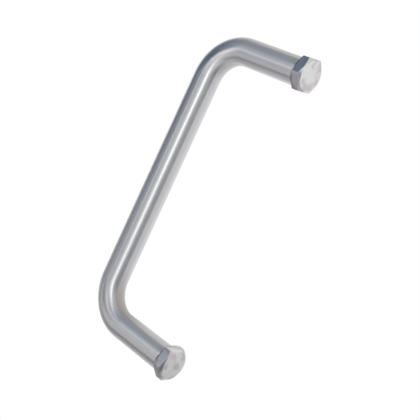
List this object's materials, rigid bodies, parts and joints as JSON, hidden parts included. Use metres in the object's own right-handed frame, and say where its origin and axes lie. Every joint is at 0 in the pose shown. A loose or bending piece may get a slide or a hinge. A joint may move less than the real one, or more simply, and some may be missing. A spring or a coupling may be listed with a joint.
{
  "type": "bar handle",
  "caption": "U-shaped door pull bent from round steel bar, with a hexagon bolt screwed into the end of each leg",
  "frame": {"origin": "midway between the two legs' axes, in the plane of the leg ends, where the door's front face goes", "axes": "+Z along the grip towards the upper leg, +Y out of the legs into the door, the grip on the -Y side"},
  "size_m": [0.0182, 0.0656, 0.1693],
  "materials": {
    "bar": "satin, polished along the bar",
    "bolts": "forged and turned, dull"
  },
  "bodies": {
    "root": {"handle_bar": "bar", "upper_bolt": "bolts", "lower_bolt": "bolts"}
  },
  "joints": []
}
